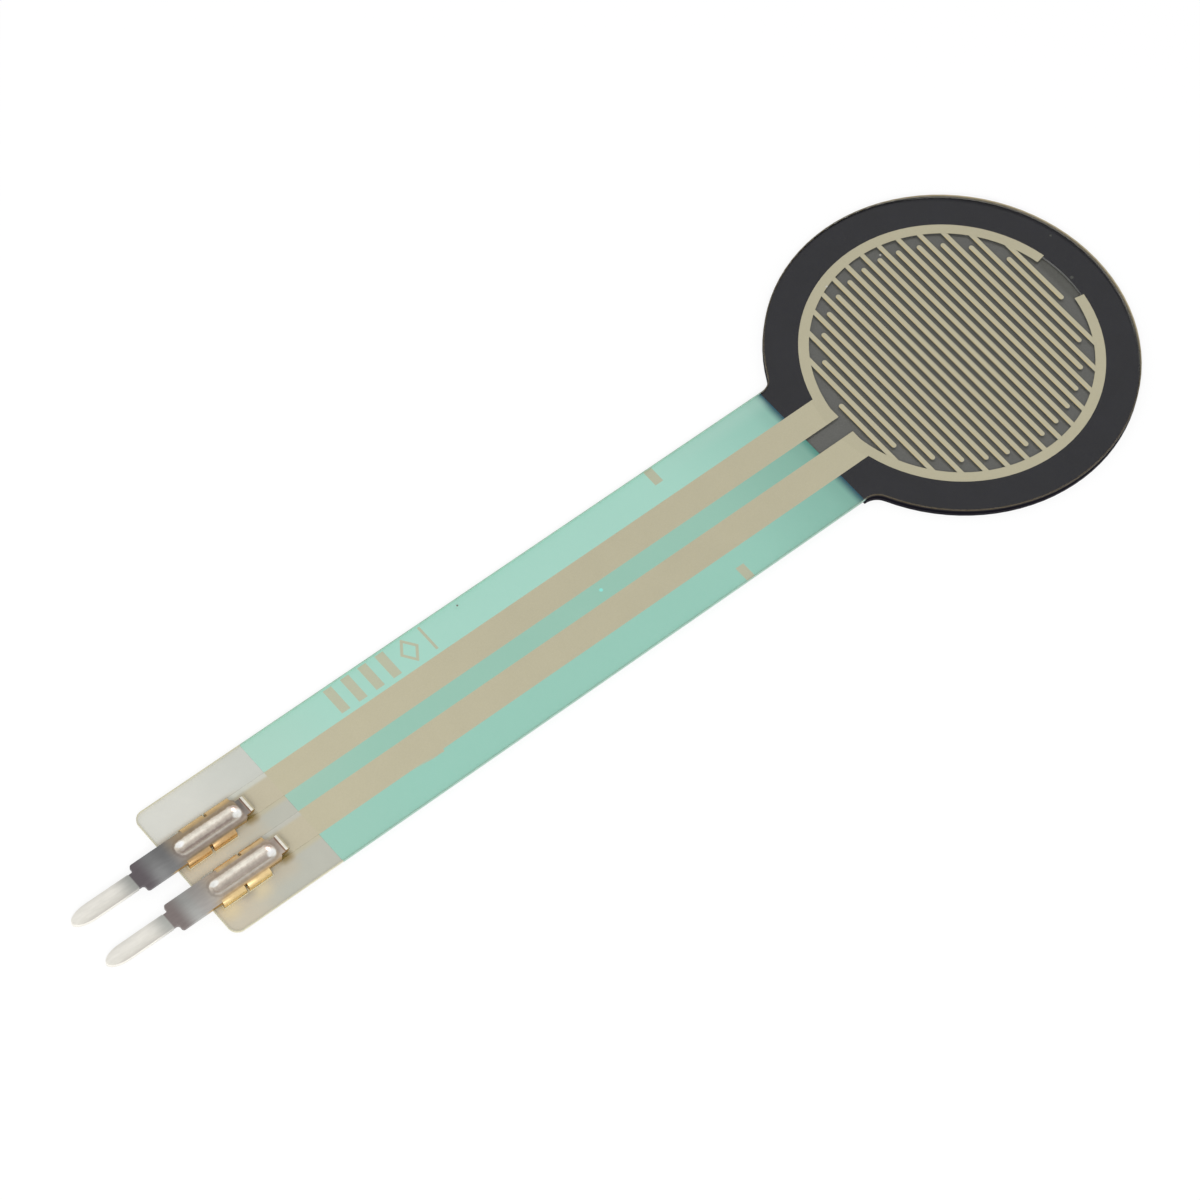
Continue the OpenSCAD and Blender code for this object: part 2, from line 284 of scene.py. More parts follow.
def spot_group():
    """A soft round spot at one place."""
    tree, given, result = new_group(
        "Spot", [("Place", VECTOR), ("Centre", VECTOR), ("Radius", NUMBER)], [("Mask", NUMBER)]
    )
    away = put(tree, "ShaderNodeVectorMath", operation="DISTANCE")
    flat = put(tree, "ShaderNodeVectorMath", operation="MULTIPLY")
    flat.inputs[1].default_value = (1, 1, 0)
    tree.links.new(given["Place"], flat.inputs[0])
    tree.links.new(flat.outputs[0], away.inputs[0])
    tree.links.new(given["Centre"], away.inputs[1])
    share = calc(tree, "DIVIDE", away.outputs["Value"], given["Radius"])
    tree.links.new(ramp(tree, share, 0.6, 1.2, 1.0, 0.0), result["Mask"])
    return tree


def halo_group():
    """White inside a rectangle, and fading out around it over the reach."""
    tree, given, result = new_group(
        "Halo",
        [(label, NUMBER) for label in ("Along", "Across", "Half length", "Half width", "Reach")],
        [("Mask", NUMBER)],
    )
    past_end = calc(tree, "SUBTRACT", calc(tree, "ABSOLUTE", given["Along"]), given["Half length"])
    past_side = calc(tree, "SUBTRACT", calc(tree, "ABSOLUTE", given["Across"]), given["Half width"])
    end_square = calc(tree, "POWER", calc(tree, "MAXIMUM", past_end, 0.0), 2.0)
    side_square = calc(tree, "POWER", calc(tree, "MAXIMUM", past_side, 0.0), 2.0)
    away = calc(tree, "SQRT", calc(tree, "ADD", end_square, side_square))
    share = calc(tree, "DIVIDE", away, given["Reach"])
    tree.links.new(ramp(tree, share, 0.0, 1.0, 1.0, 0.0), result["Mask"])
    return tree


def pill_group():
    """The distance from a straight line along X, round its ends too."""
    tree, given, result = new_group(
        "Pill", [("Along", NUMBER), ("Across", NUMBER), ("Half length", NUMBER)], [("Distance", NUMBER)]
    )
    past_end = calc(tree, "SUBTRACT", calc(tree, "ABSOLUTE", given["Along"]), given["Half length"])
    end_square = calc(tree, "POWER", calc(tree, "MAXIMUM", past_end, 0.0), 2.0)
    side_square = calc(tree, "POWER", calc(tree, "ABSOLUTE", given["Across"]), 2.0)
    tree.links.new(calc(tree, "SQRT", calc(tree, "ADD", end_square, side_square)), result["Distance"])
    return tree


MOTTLE = mottle_group()
SPOT = spot_group()
HALO = halo_group()
PILL = pill_group()


def new_material(name, base, roughness, metallic=0.0, coat=0.0, specular=0.5, alpha=1.0):
    """A Principled material with plain values, whose sockets a finish then feeds."""
    material = bpy.data.materials.new(name)
    material.use_nodes = True
    tree = material.node_tree
    shader = tree.nodes["Principled BSDF"]
    shader.inputs["Base Color"].default_value = base
    shader.inputs["Roughness"].default_value = roughness
    shader.inputs["Metallic"].default_value = metallic
    shader.inputs["Coat Weight"].default_value = coat
    shader.inputs["Coat Roughness"].default_value = 0.1
    shader.inputs["Specular IOR Level"].default_value = specular
    shader.inputs["Alpha"].default_value = alpha
    return material, tree, shader


def bump(tree, shader, height, distance_mm, strength=1.0):
    made = put(tree, "ShaderNodeBump")
    made.inputs["Strength"].default_value = strength
    made.inputs["Distance"].default_value = distance_mm * MM
    feed(tree, made.inputs["Height"], height)
    tree.links.new(made.outputs[0], shader.inputs["Normal"])


def fine_noise(tree, place, size, detail=3.0):
    noise = put(tree, "ShaderNodeTexNoise")
    noise.inputs["Scale"].default_value = 1 / size
    noise.inputs["Detail"].default_value = detail
    tree.links.new(place, noise.inputs["Vector"])
    return noise.outputs[0]


# finishes of the films and inks

SILVER_COLOUR = through_film(187, 181, 156)
# what the silver's colour is multiplied by where no coat lies round it
UNCOATED = (1.02, 1.0, 1.04, 1)


def under_film(name, colour, roughness=0.5, metallic=0.0):
    """An ink on the film's underside: the film lies over it as a clear coat."""
    return new_material(name, colour, roughness, metallic=metallic, coat=1.0, specular=0.0)


def silver_print(name, colour):
    material, tree, shader = under_film(name, colour, metallic=0.15)
    place, x, y, _ = place_mm(tree)
    shade = use(tree, MOTTLE, Place=place, Size=2.2, Depth=0.04)
    grain = use(tree, MOTTLE, Place=place, Size=0.07, Depth=0.07)
    # paler towards the tail's end, and a little darker round the fingers
    paler = ramp(tree, x, -20.0, COAT_END_X, 1.0, 1.06)
    radius = radius_of(tree, x, y)
    rim = every(tree, ramp(tree, radius, FINGERS_R, FINGERS_R + 0.1), ramp(tree, radius, RIM_R + 0.1, RIM_R))
    darker = opposite(tree, weaker(tree, rim, 0.04))
    ink = shaded(tree, colour, every(tree, shade, grain, paler, darker))
    # each finger is yellower along its -X edge, a painted highlight where the edge catches the light
    finger = calc(tree, "DIVIDE", calc(tree, "SUBTRACT", x, FIRST_FINGER_X), FINGER_PITCH)
    off_middle = calc(tree, "SUBTRACT", calc(tree, "FRACT", calc(tree, "ADD", finger, 0.5)), 0.5)
    edge = every(tree, ramp(tree, off_middle, -0.1, -0.22), ramp(tree, radius, FINGERS_R, FINGERS_R - 0.1))
    ink = tint(tree, weaker(tree, edge, 0.6), ink, through_film(206, 184, 132))
    # where the tail is bare, each trace is a little paler and its upper border fades into the film
    bare = bare_tail(tree, x)
    ink = tint(tree, bare, ink, shaded(tree, ink, UNCOATED))
    upper_border = every(tree, bare, ramp(tree, past_middle(tree, y, TRACE_Y), 0.42, 0.62))
    on_a = ramp(tree, y, -0.1, 0.1)
    film_tone = tint(tree, on_a, through_film(192, 191, 180), through_film(202, 203, 192))
    ink = tint(tree, upper_border, ink, film_tone)
    feed(tree, shader.inputs["Base Color"], ink)
    bump(tree, shader, fine_noise(tree, place, 0.06), 0.002)
    return material


# a short stretch of the trace on the -Y side where the silver ink has spread into the coat
SPREAD_START_X = -35.2
SPREAD_FULL_X = -33.5
SPREAD_END_X = -33.0
# a light scratch between the traces, a dark speck at the tail's edge, and bright dust on the head
SCRATCH = (-21.95, 0.06, 0)
DARK_SPECK = (-27.82, 3.46, 0)
BRIGHT_DUST = (((-2.4, 6.5, 0), 0.07), ((0.9, 6.3, 0), 0.06))
FAINT_DUST = (((7.5, -0.35, 0), 0.1), ((8.36, 2.12, 0), 0.07))


def specks(tree, place, spots):
    return any_of(tree, *[spot(tree, place, centre, radius) for centre, radius in spots])


def green_coat():
    """Three strips beside and between the traces, the far one paler, and all darker towards the head."""
    material, tree, shader = under_film("green_coat", through_film(152, 196, 179))
    place, x, y, _ = place_mm(tree)
    on_far = ramp(tree, y, 1.5, 1.9)
    body = tint(tree, on_far, through_film(152, 194, 177), through_film(166, 210, 195))
    body = tint(tree, ramp(tree, y, -1.1, -1.5), body, through_film(152, 199, 183))
    body = shaded(tree, body, use(tree, MOTTLE, Place=place, Size=5.0, Depth=0.03))
    paler = every(tree, ramp(tree, x, -34.0, -40.0), ramp(tree, y, -2.0, 1.5, 0.1, 0.25))
    body = tint(tree, paler, body, through_film(184, 204, 188))
    darker = tint(tree, on_far, through_film(118, 162, 148), through_film(134, 180, 166))
    body = tint(tree, ramp(tree, x, -16.0, -9.0, 0.0, 0.5), body, darker)
    # the coat falls into shade next to the head, less so between the traces
    towards_head = ramp(tree, x, NECK_X - 1.5, NECK_X - 0.2, 0.0, 0.2)
    body = tint(tree, towards_head, body, through_film(92, 128, 120))
    between = ramp(tree, calc(tree, "ABSOLUTE", y), 0.7, 0.6)
    shade = tint(tree, between, through_film(52, 84, 98), through_film(88, 140, 129))
    body = tint(tree, ramp(tree, x, NECK_X - 0.5, NECK_X + 0.05), body, shade)
    # the far strip stays pale along the tail's edge near the head
    pale_border = every(tree, ramp(tree, y, 2.7, 3.6, 0.0, 0.42), ramp(tree, x, -17.0, -11.0))
    pale_border = every(tree, pale_border, ramp(tree, x, NECK_X, NECK_X - 0.3))
    body = tint(tree, pale_border, body, through_film(174, 206, 194))
    # the spread ink, with a wavy border
    growing = ramp(tree, x, SPREAD_START_X, SPREAD_FULL_X)
    reach = every(tree, growing, ramp(tree, x, SPREAD_END_X, SPREAD_END_X - 0.12))
    wobble = calc(tree, "ADD", weaker(tree, fine_noise(tree, place, 0.3), 0.14), 0.03)
    edge_y = calc(tree, "SUBTRACT", -TRACE_Y - TRACE_HALF, calc(tree, "MULTIPLY", reach, wobble))
    past_edge = ramp(tree, calc(tree, "SUBTRACT", y, edge_y), -0.03, 0.0)
    spread = every(tree, past_edge, ramp(tree, y, -1.9, -2.0))
    body = tint(tree, every(tree, spread, reach), body, SILVER_COLOUR)
    scratch = spot(tree, place, SCRATCH, 0.1)
    feed(tree, shader.inputs["Base Color"], tint(tree, scratch, body, through_film(144, 224, 214)))
    return material


DARK_SIDE = srgb(22, 20, 27)


def black_spacer():
    colour = through_film(61, 61, 63)
    material, tree, shader = under_film("black_spacer", colour)
    place, x, y, _ = place_mm(tree)
    dark = shaded(tree, colour, use(tree, MOTTLE, Place=place, Size=1.4, Depth=0.5))
    # a little dust under the film
    dust = ramp(tree, fine_noise(tree, place, 0.09, 1.0), 0.76, 0.82, 0.0, 0.25)
    dust = any_of(tree, dust, specks(tree, place, FAINT_DUST))
    dark = tint(tree, weaker(tree, dust, 0.4), dark, through_film(110, 112, 104))
    # its outer side is dull and black, and the side round the opening greyer
    outer = ramp(tree, radius_of(tree, x, y), SPACER_MID_R - 0.1, SPACER_MID_R + 0.1)
    side = tint(tree, outer, srgb(126, 126, 125), DARK_SIDE)
    flat = facing_up(tree)
    feed(tree, shader.inputs["Base Color"], tint(tree, flat, side, dark))
    feed(tree, shader.inputs["Coat Weight"], flat)
    return material


def grey_ink():
    """The ink seen between the fingers, a little darker beyond the last of them."""
    colour = through_film(104, 104, 101)
    material, tree, shader = under_film("grey_sensing_ink", colour)
    place, x, _, _ = place_mm(tree)
    ink = tint(tree, ramp(tree, x, 6.6, 6.9), colour, through_film(95, 95, 91))
    ink = shaded(tree, ink, use(tree, MOTTLE, Place=place, Size=0.09, Depth=0.2))
    flat = facing_up(tree)
    feed(tree, shader.inputs["Base Color"], tint(tree, flat, DARK_SIDE, ink))
    feed(tree, shader.inputs["Coat Weight"], flat)
    return material


def dark_layer(name, colour, roughness):
    """One of the lower layers, of which only the cut edge and the rear show."""
    material, tree, shader = new_material(name, colour, roughness, specular=DULL)
    place, _, _, _ = place_mm(tree)
    shade = use(tree, MOTTLE, Place=place, Size=0.3, Depth=0.3)
    feed(tree, shader.inputs["Base Color"], shaded(tree, colour, shade))
    bump(tree, shader, fine_noise(tree, place, 0.12), 0.004)
    return material


def facing_right(tree, x, y):
    """One at the head's right side in the photograph, down to minus one at its left."""
    turn = calc(tree, "ARCTAN2", y, x)
    return calc(tree, "COSINE", calc(tree, "SUBTRACT", turn, RIGHT_SIDE))


# the gleam that each lower tine throws on the film, and the shade between them: where its middle
# lies, how far it reaches, its strength and its colour
GLEAMS = (
    (-45.8, -2.66, 0.75, 0.75, in_haze(215, 200, 164)),
    (-44.05, -2.7, 0.7, 0.7, in_haze(213, 200, 167)),
    (-44.62, -2.45, 0.5, 0.5, in_haze(154, 149, 140)),
)


def film_face():
    """Clear over the print, where dust and painted reflections show, and hazy on the underside where it is
    bare.
    """
    haze_colour = in_haze(188, 188, 176)
    material, tree, shader = new_material("clear_film", haze_colour, 0.12, alpha=0.0)
    place, x, y, z = place_mm(tree)
    underside = ramp(tree, z, FILM_MID_Z + 0.02, FILM_MID_Z - 0.02)
    bare = bare_tail(tree, x)
    from_trace = past_middle(tree, y, TRACE_Y)
    beside = ramp(tree, calc(tree, "ABSOLUTE", from_trace), TRACE_HALF - 0.02, TRACE_HALF)
    off_trace = any_of(tree, beside, ramp(tree, x, TRACE_END_X + 0.02, TRACE_END_X))
    haze = weaker(tree, every(tree, bare, off_trace), HAZE_HIDES)
    # paler towards +Y, warmer towards the corner, and with a painted warm shade and glow round the crimps
    upper = tint(tree, ramp(tree, x, -40.4, -44.8), in_haze(202, 204, 196), in_haze(215, 215, 207))
    lower = tint(tree, ramp(tree, x, -43.0, -45.2), haze_colour, in_haze(200, 192, 173))
    colour = tint(tree, ramp(tree, y, 0.8, 2.4), lower, upper)
    # the trace's colour runs on a little past its lower border
    run_on = every(tree, ramp(tree, from_trace, -1.1, -0.82), ramp(tree, from_trace, 0.1, -0.1))
    colour = tint(tree, run_on, colour, in_haze(193, 187, 163))
    across = past_middle(tree, calc(tree, "SUBTRACT", y, CRIMP_MID_Y), TRACE_Y)
    along = calc(tree, "SUBTRACT", x, PLATE_END_X - CRIMP_L / 2)
    # a painted warm shade and glow round the crimps
    halo = use(tree, HALO, Along=along, Across=across, Half_length=1.8, Half_width=0.9, Reach=0.9)
    halo = every(tree, halo, ramp(tree, y, 2.25, 1.95, 0.0, 0.45))
    colour = tint(tree, halo, colour, in_haze(200, 184, 157))
    for middle_x, middle_y, reach, strength, tone in GLEAMS:
        off_x = calc(tree, "SUBTRACT", x, middle_x)
        off_y = calc(tree, "SUBTRACT", y, middle_y)
        patch = use(tree, HALO, Along=off_x, Across=off_y, Half_length=0.1, Half_width=0.0, Reach=reach)
        colour = tint(tree, weaker(tree, patch, strength), colour, tone)
    # the plate's corner throws a brown shade
    past_plate = calc(tree, "SUBTRACT", x, PLATE_END_X + 0.2)
    off_corner = calc(tree, "ADD", across, 0.5)
    corner = use(
        tree, HALO, Along=past_plate, Across=off_corner, Half_length=0.12, Half_width=0.04, Reach=0.42
    )
    colour = tint(tree, corner, colour, in_haze(152, 134, 96))
    colour = shaded(tree, colour, use(tree, MOTTLE, Place=place, Size=0.9, Depth=0.05))
    # dust, and along the head's right side a painted reflection line and a painted gold glint
    light_specks = specks(tree, place, BRIGHT_DUST)
    dark_speck = spot(tree, place, DARK_SPECK, 0.05)
    colour = tint(tree, light_specks, colour, srgb(225, 225, 220))
    colour = tint(tree, dark_speck, colour, srgb(112, 104, 92))
    radius = radius_of(tree, x, y)
    right = facing_right(tree, x, y)
    reflection_line = every(
        tree,
        ramp(tree, radius, HEAD_R - 0.22, HEAD_R - 0.17),
        ramp(tree, radius, HEAD_R - 0.12, HEAD_R - 0.16),
        ramp(tree, right, 0.6, 0.9),
    )
    colour = tint(tree, reflection_line, colour, srgb(150, 144, 132))
    # the painted gold glint just inside the head's edge
    border = every(tree, ramp(tree, radius, HEAD_R - 0.15, HEAD_R - 0.11), ramp(tree, right, 0.4, 0.9))
    colour = tint(tree, border, colour, srgb(170, 154, 123))
    feed(tree, shader.inputs["Base Color"], colour)
    below = every(tree, underside, any_of(tree, haze, weaker(tree, corner, 0.7)))
    faint = weaker(tree, any_of(tree, light_specks, reflection_line, border), 0.48)
    on_top = every(tree, opposite(tree, underside), any_of(tree, faint, dark_speck))
    feed(tree, shader.inputs["Alpha"], any_of(tree, below, on_top))
    return material


def film_rim_glint():
    """The narrow strip along the cut edge, where a gold glint is painted, most on the head's right."""
    material, tree, shader = new_material("film_rim_glint", srgb(160, 146, 110), 0.3, alpha=0.6)
    place, x, y, _ = place_mm(tree)
    on_head = ramp(tree, x, NECK_X - 0.5, NECK_X + 0.5)
    right = facing_right(tree, x, y)
    head = calc(tree, "MULTIPLY", on_head, ramp(tree, right, 0.2, 0.9, 0.3, 0.85))
    bare = bare_tail(tree, x, 0.08, 0.5)
    strength = calc(tree, "ADD", head, every(tree, opposite(tree, on_head), bare))
    varied = use(tree, MOTTLE, Place=place, Size=1.2, Depth=0.25)
    feed(tree, shader.inputs["Alpha"], calc(tree, "MULTIPLY", strength, varied))
    # the painted glint is a lighter gold towards the head's right
    gold = tint(tree, ramp(tree, right, 0.2, 0.9), srgb(126, 112, 84), srgb(182, 169, 136))
    feed(tree, shader.inputs["Base Color"], tint(tree, on_head, srgb(212, 208, 182), gold))
    return material


def film_edge():
    """The film's cut edge: dark round the head with a painted gold glint line, and pale along the tail."""
    material, tree, shader = new_material("film_cut_edge", srgb(40, 38, 34), 0.4, specular=DULL)
    place, x, _, z = place_mm(tree)
    on_head = ramp(tree, x, NECK_X - 0.1, NECK_X + 0.1)
    bare = bare_tail(tree, x)
    tail = tint(tree, bare, srgb(176, 208, 192), srgb(226, 220, 192))
    # a painted gold glint line along the top of the head's edge
    glint_line = ramp(tree, z, 0.42, 0.45)
    head = tint(tree, weaker(tree, glint_line, 0.7), srgb(24, 22, 26), srgb(120, 104, 74))
    # the far side's edge is seen from within, through the clear film, and is greyer
    within = put(tree, "ShaderNodeNewGeometry").outputs["Backfacing"]
    head = tint(tree, within, head, srgb(104, 100, 88))
    edge = tint(tree, on_head, tail, head)
    shade = use(tree, MOTTLE, Place=place, Size=0.5, Depth=0.2)
    feed(tree, shader.inputs["Base Color"], shaded(tree, edge, shade))
    return material


# the contacts' finish

METAL_ROUGHNESS = 0.36
# along a plate, from its inner end: the groove's middle and half its straight length, where the far
# tines start and end, and how much further out the near ones stand
GROOVE_MID = -1.84
GROOVE_HALF = 1.4
TINES_START = -2.84
TINES_END = -0.16
STAGGER = 0.71


def contact_metal():
    """Tin plated strip with painted reflections and shade: grey on strap and plate, white on the pin, and
    brass at cut and bent edges.
    """
    tin = srgb(140, 140, 140)
    material, tree, shader = new_material("tin_plated_strip", tin, METAL_ROUGHNESS, metallic=1.0)
    place, x, y, z = place_mm(tree)
    # along runs from the plate's inner end, and across from each contact's middle, both towards plus
    along = calc(tree, "SUBTRACT", x, PLATE_END_X)
    from_mid = calc(tree, "SUBTRACT", y, CRIMP_MID_Y)
    across = past_middle(tree, from_mid, TRACE_Y)
    off_middle = calc(tree, "ABSOLUTE", across)
    on_b = calc(tree, "LESS_THAN", from_mid, 0.0)
    flat = facing_up(tree)

    streaks = put(tree, "ShaderNodeMapping")
    streaks.inputs["Scale"].default_value = (0.35, 1.6, 1.6)
    tree.links.new(place, streaks.inputs["Vector"])
    rolled = use(tree, MOTTLE, Place=streaks.outputs[0], Size=0.2, Depth=0.12)
    blotch = use(tree, MOTTLE, Place=place, Size=0.35, Depth=0.3)

    def zone(value, start, end, soft=0.04):
        """White where the value lies between start and end."""
        past_start = ramp(tree, value, start - soft, start + soft)
        return every(tree, past_start, ramp(tree, value, end + soft, end - soft))

    def two(colour_a, colour_b):
        """One colour on contact a and another on contact b, as the two catch the light differently."""
        return tint(tree, on_b, on_metal(*colour_a), on_metal(*colour_b))

    # the strap's painted reflection, a darker grey on contact a than on contact b
    metal = two((127, 127, 127), (158, 158, 155))
    # painted shade: darker where the strap runs under the groove's end and on its far side, and brown at its
    # front
    metal = tint(tree, zone(along, -4.5, -3.75, 0.3), metal, two((116, 116, 116), (158, 154, 150)))
    metal = shaded(tree, metal, ramp(tree, across, -0.6, 0.6, 1.14, 0.86))
    front_shade = ramp(tree, x, STRAP_FRONT_X + 0.95, STRAP_FRONT_X + 0.15)
    metal = tint(tree, front_shade, metal, two((99, 93, 96), (126, 117, 115)))
    # the pin is dipped in solder, whiter towards its tip
    pale_edge = ramp(tree, off_middle, 0.36, 0.45, 0.0, 0.5)
    root = tint(tree, pale_edge, two((156, 157, 153), (167, 168, 163)), on_metal(206, 202, 196))
    # its flat is darker along both borders, most on the near one
    edge_shade = bands(tree, across, -0.5, 0.5, [
        (-0.46, (0.64, 0.63, 0.62, 1)),
        (-0.22, (0.85, 0.85, 0.84, 1)),
        (0.06, (0.98, 0.98, 0.98, 1)),
        (0.24, (0.96, 0.96, 0.96, 1)),
        (0.43, (0.84, 0.84, 0.84, 1)),
    ])
    white = on_metal(229, 226, 218)
    white = tint(tree, flat, white, shaded(tree, white, edge_shade))
    dipped = ramp(tree, x, STRAP_FRONT_X - 0.25, STRAP_FRONT_X - 1.4)
    solder = tint(tree, dipped, root, white)
    metal = tint(tree, ramp(tree, x, STRAP_FRONT_X - 0.22, STRAP_FRONT_X - 0.3), metal, solder)

    # the plate round the groove, with painted reflections that differ between its near and far sides and
    # between the contacts
    on_plate = ramp(tree, along, -4.2, -3.1)
    near_side = two((157, 144, 132), (174, 160, 142))
    near_border = two((136, 120, 98), (184, 157, 118))
    near_side = tint(tree, ramp(tree, across, -0.48, -0.62), near_side, near_border)
    far_side = two((152, 136, 113), (164, 149, 132))
    plate = tint(tree, ramp(tree, across, -0.3, 0.3), near_side, far_side)
    near_end = two((142, 133, 126), (172, 161, 150))
    far_end = two((114, 109, 104), (157, 145, 135))
    before_lip = tint(tree, ramp(tree, across, -0.4, 0.2), near_end, far_end)
    plate = tint(tree, zone(along, -0.04, 0.2, 0.05), plate, before_lip)
    metal = tint(tree, on_plate, metal, plate)

    # the groove from its near wall over the dull floor, in painted shade, to its far wall, bright with a
    # painted highlight, with ragged borders
    ragged = weaker(tree, calc(tree, "SUBTRACT", fine_noise(tree, place, 0.14), 0.5), 0.16)
    wavy = calc(tree, "ADD", across, ragged)
    from_groove = calc(tree, "SUBTRACT", along, GROOVE_MID)
    rounded = use(tree, PILL, Along=from_groove, Across=across, Half_length=GROOVE_HALF)
    in_groove = ramp(tree, calc(tree, "ADD", rounded, weaker(tree, ragged, 0.5)), 0.43, 0.36)
    groove = bands(tree, wavy, -0.45, 0.45, [
        (-0.42, on_metal(165, 158, 149)),
        (-0.3, on_metal(189, 182, 172)),
        (-0.14, on_metal(160, 150, 141)),
        (0.02, on_metal(178, 169, 158)),
        (0.12, on_metal(201, 191, 179)),
        (0.23, on_metal(223, 218, 206)),
        (0.34, on_metal(200, 191, 178)),
    ])
    # a painted shade outlines the groove
    border = zone(calc(tree, "ADD", rounded, ragged), 0.42, 0.53, 0.04)
    metal = tint(tree, weaker(tree, border, 0.2), metal, on_metal(84, 62, 58))
    metal = tint(tree, in_groove, metal, groove)
    # the far wall's end leans away from the light
    leaning = every(tree, in_groove, ramp(tree, along, -0.5, -0.25), ramp(tree, across, 0.04, 0.18))
    metal = tint(tree, leaning, metal, on_metal(172, 154, 144))
    # a painted line of shade along the groove's floor
    floor_shade_line = every(tree, in_groove, zone(wavy, -0.17, -0.06, 0.04), zone(along, -3.45, -0.55, 0.1))
    metal = tint(tree, floor_shade_line, metal, two((143, 129, 121), (166, 154, 144)))
    glints = any_of(
        tree,
        spot(tree, place_vector(tree, along, across), (-0.28, -0.1, 0), 0.23),
        spot(tree, place_vector(tree, weaker(tree, along, 0.5), across), (-1.64, 0.24, 0), 0.13),
    )
    metal = tint(tree, every(tree, in_groove, glints), metal, on_metal(241, 236, 227))

    # the lip's bend is dark with painted shade, and its top bright with a painted highlight
    lip = ramp(tree, along, 0.2, 0.22)
    metal = tint(tree, lip, metal, on_metal(136, 112, 102))
    lip_top = every(tree, lip, ramp(tree, z, 0.84, 0.855))
    top_highlight = tint(tree, ramp(tree, along, 0.36, 0.4), srgb(244, 240, 228), srgb(200, 190, 160))
    metal = tint(tree, lip_top, metal, top_highlight)

    # brass shows on the cut sides, and the tines' bends are gold, lighter further out and on the near tines
    # with painted highlights
    over_film = ramp(tree, x, STRAP_FRONT_X + 1.2, STRAP_FRONT_X + 1.7)
    cut_side = every(tree, opposite(tree, flat), over_film)
    metal = tint(tree, cut_side, metal, on_metal(176, 148, 102))
    bent = any_of(tree, ramp(tree, across, 0.55, 0.62), ramp(tree, across, -0.62, -0.7))
    on_near = calc(tree, "LESS_THAN", across, 0.0)
    run = calc(tree, "ADD", along, weaker(tree, on_near, STAGGER))
    bent = every(tree, bent, zone(run, TINES_START, TINES_END, 0.01))
    near_bend = two((186, 154, 110), (226, 198, 146))
    near_tip = two((226, 188, 130), (234, 205, 150))
    near_gold = tint(tree, ramp(tree, across, -0.78, -0.92), near_bend, near_tip)
    far_bend = two((166, 143, 108), (180, 158, 122))
    far_tip = two((203, 174, 126), (207, 175, 127))
    far_gold = tint(tree, ramp(tree, across, 0.58, 0.82), far_bend, far_tip)
    metal = tint(tree, bent, metal, tint(tree, ramp(tree, across, -0.1, 0.1), near_gold, far_gold))

    metal = shaded(tree, metal, rolled)
    feed(tree, shader.inputs["Base Color"], tint(tree, on_plate, metal, shaded(tree, metal, blotch)))
    feed(tree, shader.inputs["Roughness"], weaker(tree, rolled, METAL_ROUGHNESS))
    bump(tree, shader, rolled, 0.006, 0.5)
    return material


# pieces that are made from a CAD solid's mesh


# points of a CAD solid that lie this near each other are one point, and this near the same height
# are on one level
SAME_POINT = 0.0005
SAME_LEVEL = 0.01


def merged_copy(node):
    """A bmesh of a CAD node with its loose triangles joined and their normals made to agree."""
    shape = bmesh.new()
    shape.from_mesh(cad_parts[node].data)
    bmesh.ops.remove_doubles(shape, verts=shape.verts, dist=SAME_POINT * MM)
    bmesh.ops.recalc_face_normals(shape, faces=shape.faces)
    return shape


def as_piece(shape, name, materials, slot, *nodes):
    mesh = bpy.data.meshes.new(name)
    shape.to_mesh(mesh)
    shape.free()
    for material in materials:
        mesh.materials.append(material)
    piece = bpy.data.objects.new(name, mesh)
    bpy.context.scene.collection.objects.link(piece)
    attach(piece, "root")
    if nodes:
        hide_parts(*nodes)
    return piece


def make_film():
    """The base film with a narrow strip along its upper edges, and a finish each for face, strip and edge."""
    shape = merged_copy("base_film")
    low = min(v.co.z for v in shape.verts)
    for vert in shape.verts:
        if vert.co.z - low < SAME_LEVEL * MM:
            vert.co.z += PRINT_CLEARANCE * MM
    top = [f for f in shape.faces if f.normal.z > 0.5]
    walls = [f for f in shape.faces if abs(f.normal.z) < 0.5]
    finishes = [film_face(), film_rim_glint(), film_edge()]
    for wall in walls:
        wall.material_index = 2
    ring = bmesh.ops.inset_region(
        shape, faces=top, thickness=RIM_W * MM, use_boundary=True, use_even_offset=True
    )
    for strip in ring["faces"]:
        strip.material_index = 1
    return as_piece(shape, "clear_film", finishes, "clear_film", "base_film")


# how far back the contacts' sharp edges are rounded, and which bends are flat, soft or sharp
EDGE_ROUND = 0.015
LEVEL_FACES = math.radians(0.5)
SOFT_BEND = math.radians(32)
SHARP_BEND = math.radians(50)


def make_contact(node, metal):
    """A contact with its sharp edges rounded off."""
    shape = merged_copy(node)
    bmesh.ops.dissolve_limit(shape, angle_limit=LEVEL_FACES, verts=shape.verts, edges=shape.edges)
    sharp = [e for e in shape.edges if len(e.link_faces) == 2 and e.calc_face_angle() > SHARP_BEND]
    bmesh.ops.bevel(
        shape,
        geom=sharp,
        offset=EDGE_ROUND * MM,
        segments=2,
        affect="EDGES",
        profile=0.5,
        material=-1,
        clamp_overlap=True,
    )
    for face in shape.faces:
        face.smooth = True
    for edge in shape.edges:
        edge.smooth = len(edge.link_faces) == 2 and edge.calc_face_angle() < SOFT_BEND
    return as_piece(shape, node + "_strip", [metal], "contact_metal", node)


def dress(node, material):
    """Gives a CAD node its finish and leaves its shape alone."""
    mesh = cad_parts[node].data
    mesh.materials.clear()
    mesh.materials.append(material)


